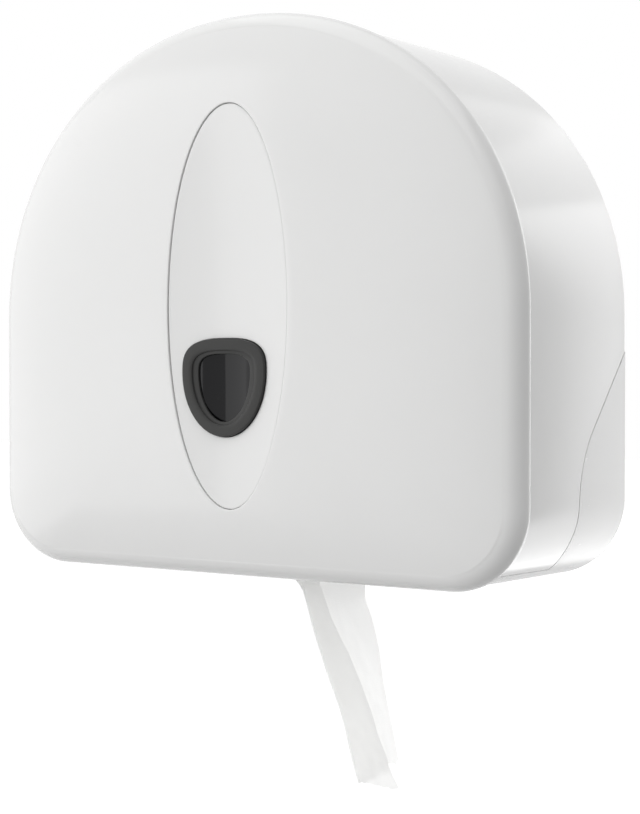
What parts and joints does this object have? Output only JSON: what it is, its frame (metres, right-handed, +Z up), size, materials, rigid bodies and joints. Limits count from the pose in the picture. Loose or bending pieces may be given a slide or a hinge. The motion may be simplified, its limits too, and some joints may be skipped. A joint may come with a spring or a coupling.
{
  "type": "jumbo toilet roll dispenser",
  "caption": "Wall-mounted jumbo toilet roll dispenser: arched white cover hinged at the foot over a base with spindle, roll, tear bars and lock, an elliptical panel and a dark level window.",
  "frame": {"origin": "on the wall plane, at the centre of the four wall screw holes, in line with the spindle's axis", "axes": "+X to the right seen from the front, +Y into the wall, +Z up"},
  "size_m": [0.3408, 0.1387, 0.4193],
  "materials": {
    "base_plastic": "moulded white, satin gloss",
    "cover_plastic": "moulded white, high gloss",
    "panel_plastic": "moulded white, high gloss",
    "surround_plastic": "dark grey, satin gloss",
    "lens_plastic": "smoked, polished",
    "sleeve_plastic": "moulded light grey",
    "steel": "zinc-plated or stainless",
    "barrel_plastic": "moulded mid grey",
    "cardboard": "grey-brown board",
    "tissue": "soft white tissue"
  },
  "bodies": {
    "base": {"base": "base_plastic", "hinge_pin_left": "steel", "hinge_pin_right": "steel", "spindle": "base_plastic", "spindle_screws": "steel", "spindle_sleeve": "sleeve_plastic", "spindle_cap": "sleeve_plastic", "core_brake_leaf": "steel", "paper_web": "tissue", "paper_tail": "tissue", "tear_bar_left": "steel", "tear_bar_right": "steel", "tear_bar_screws": "steel", "keeper": "steel", "keeper_screws": "steel"},
    "cover": {"front_cover": "cover_plastic", "decor_panel": "panel_plastic", "panel_clips": "steel", "window_surround": "surround_plastic", "window_lens": "lens_plastic", "lock_nut": "sleeve_plastic"},
    "roll": {"roll_core": "cardboard", "paper_roll": "tissue"},
    "lock": {"lock_barrel": "barrel_plastic", "lock_cam": "steel", "cam_screw": "steel"}
  },
  "joints": [
    {"name": "cover_hinge", "type": "hinge", "parent": "base", "child": "cover", "pos_m": [0, -0.03, -0.1167], "axis": [1, 0, 0], "range_deg": [0, 90], "deforming": ["paper_tail"]},
    {"name": "roll_spin", "type": "hinge", "parent": "base", "child": "roll", "pos_m": [0, -0.0595, -0.0013], "axis": [0, 1, 0], "continuous": true},
    {"name": "lock_turn", "type": "hinge", "parent": "cover", "child": "lock", "pos_m": [0, -0.034, 0.15], "axis": [0, 0, -1], "range_deg": [0, 90]}
  ]
}
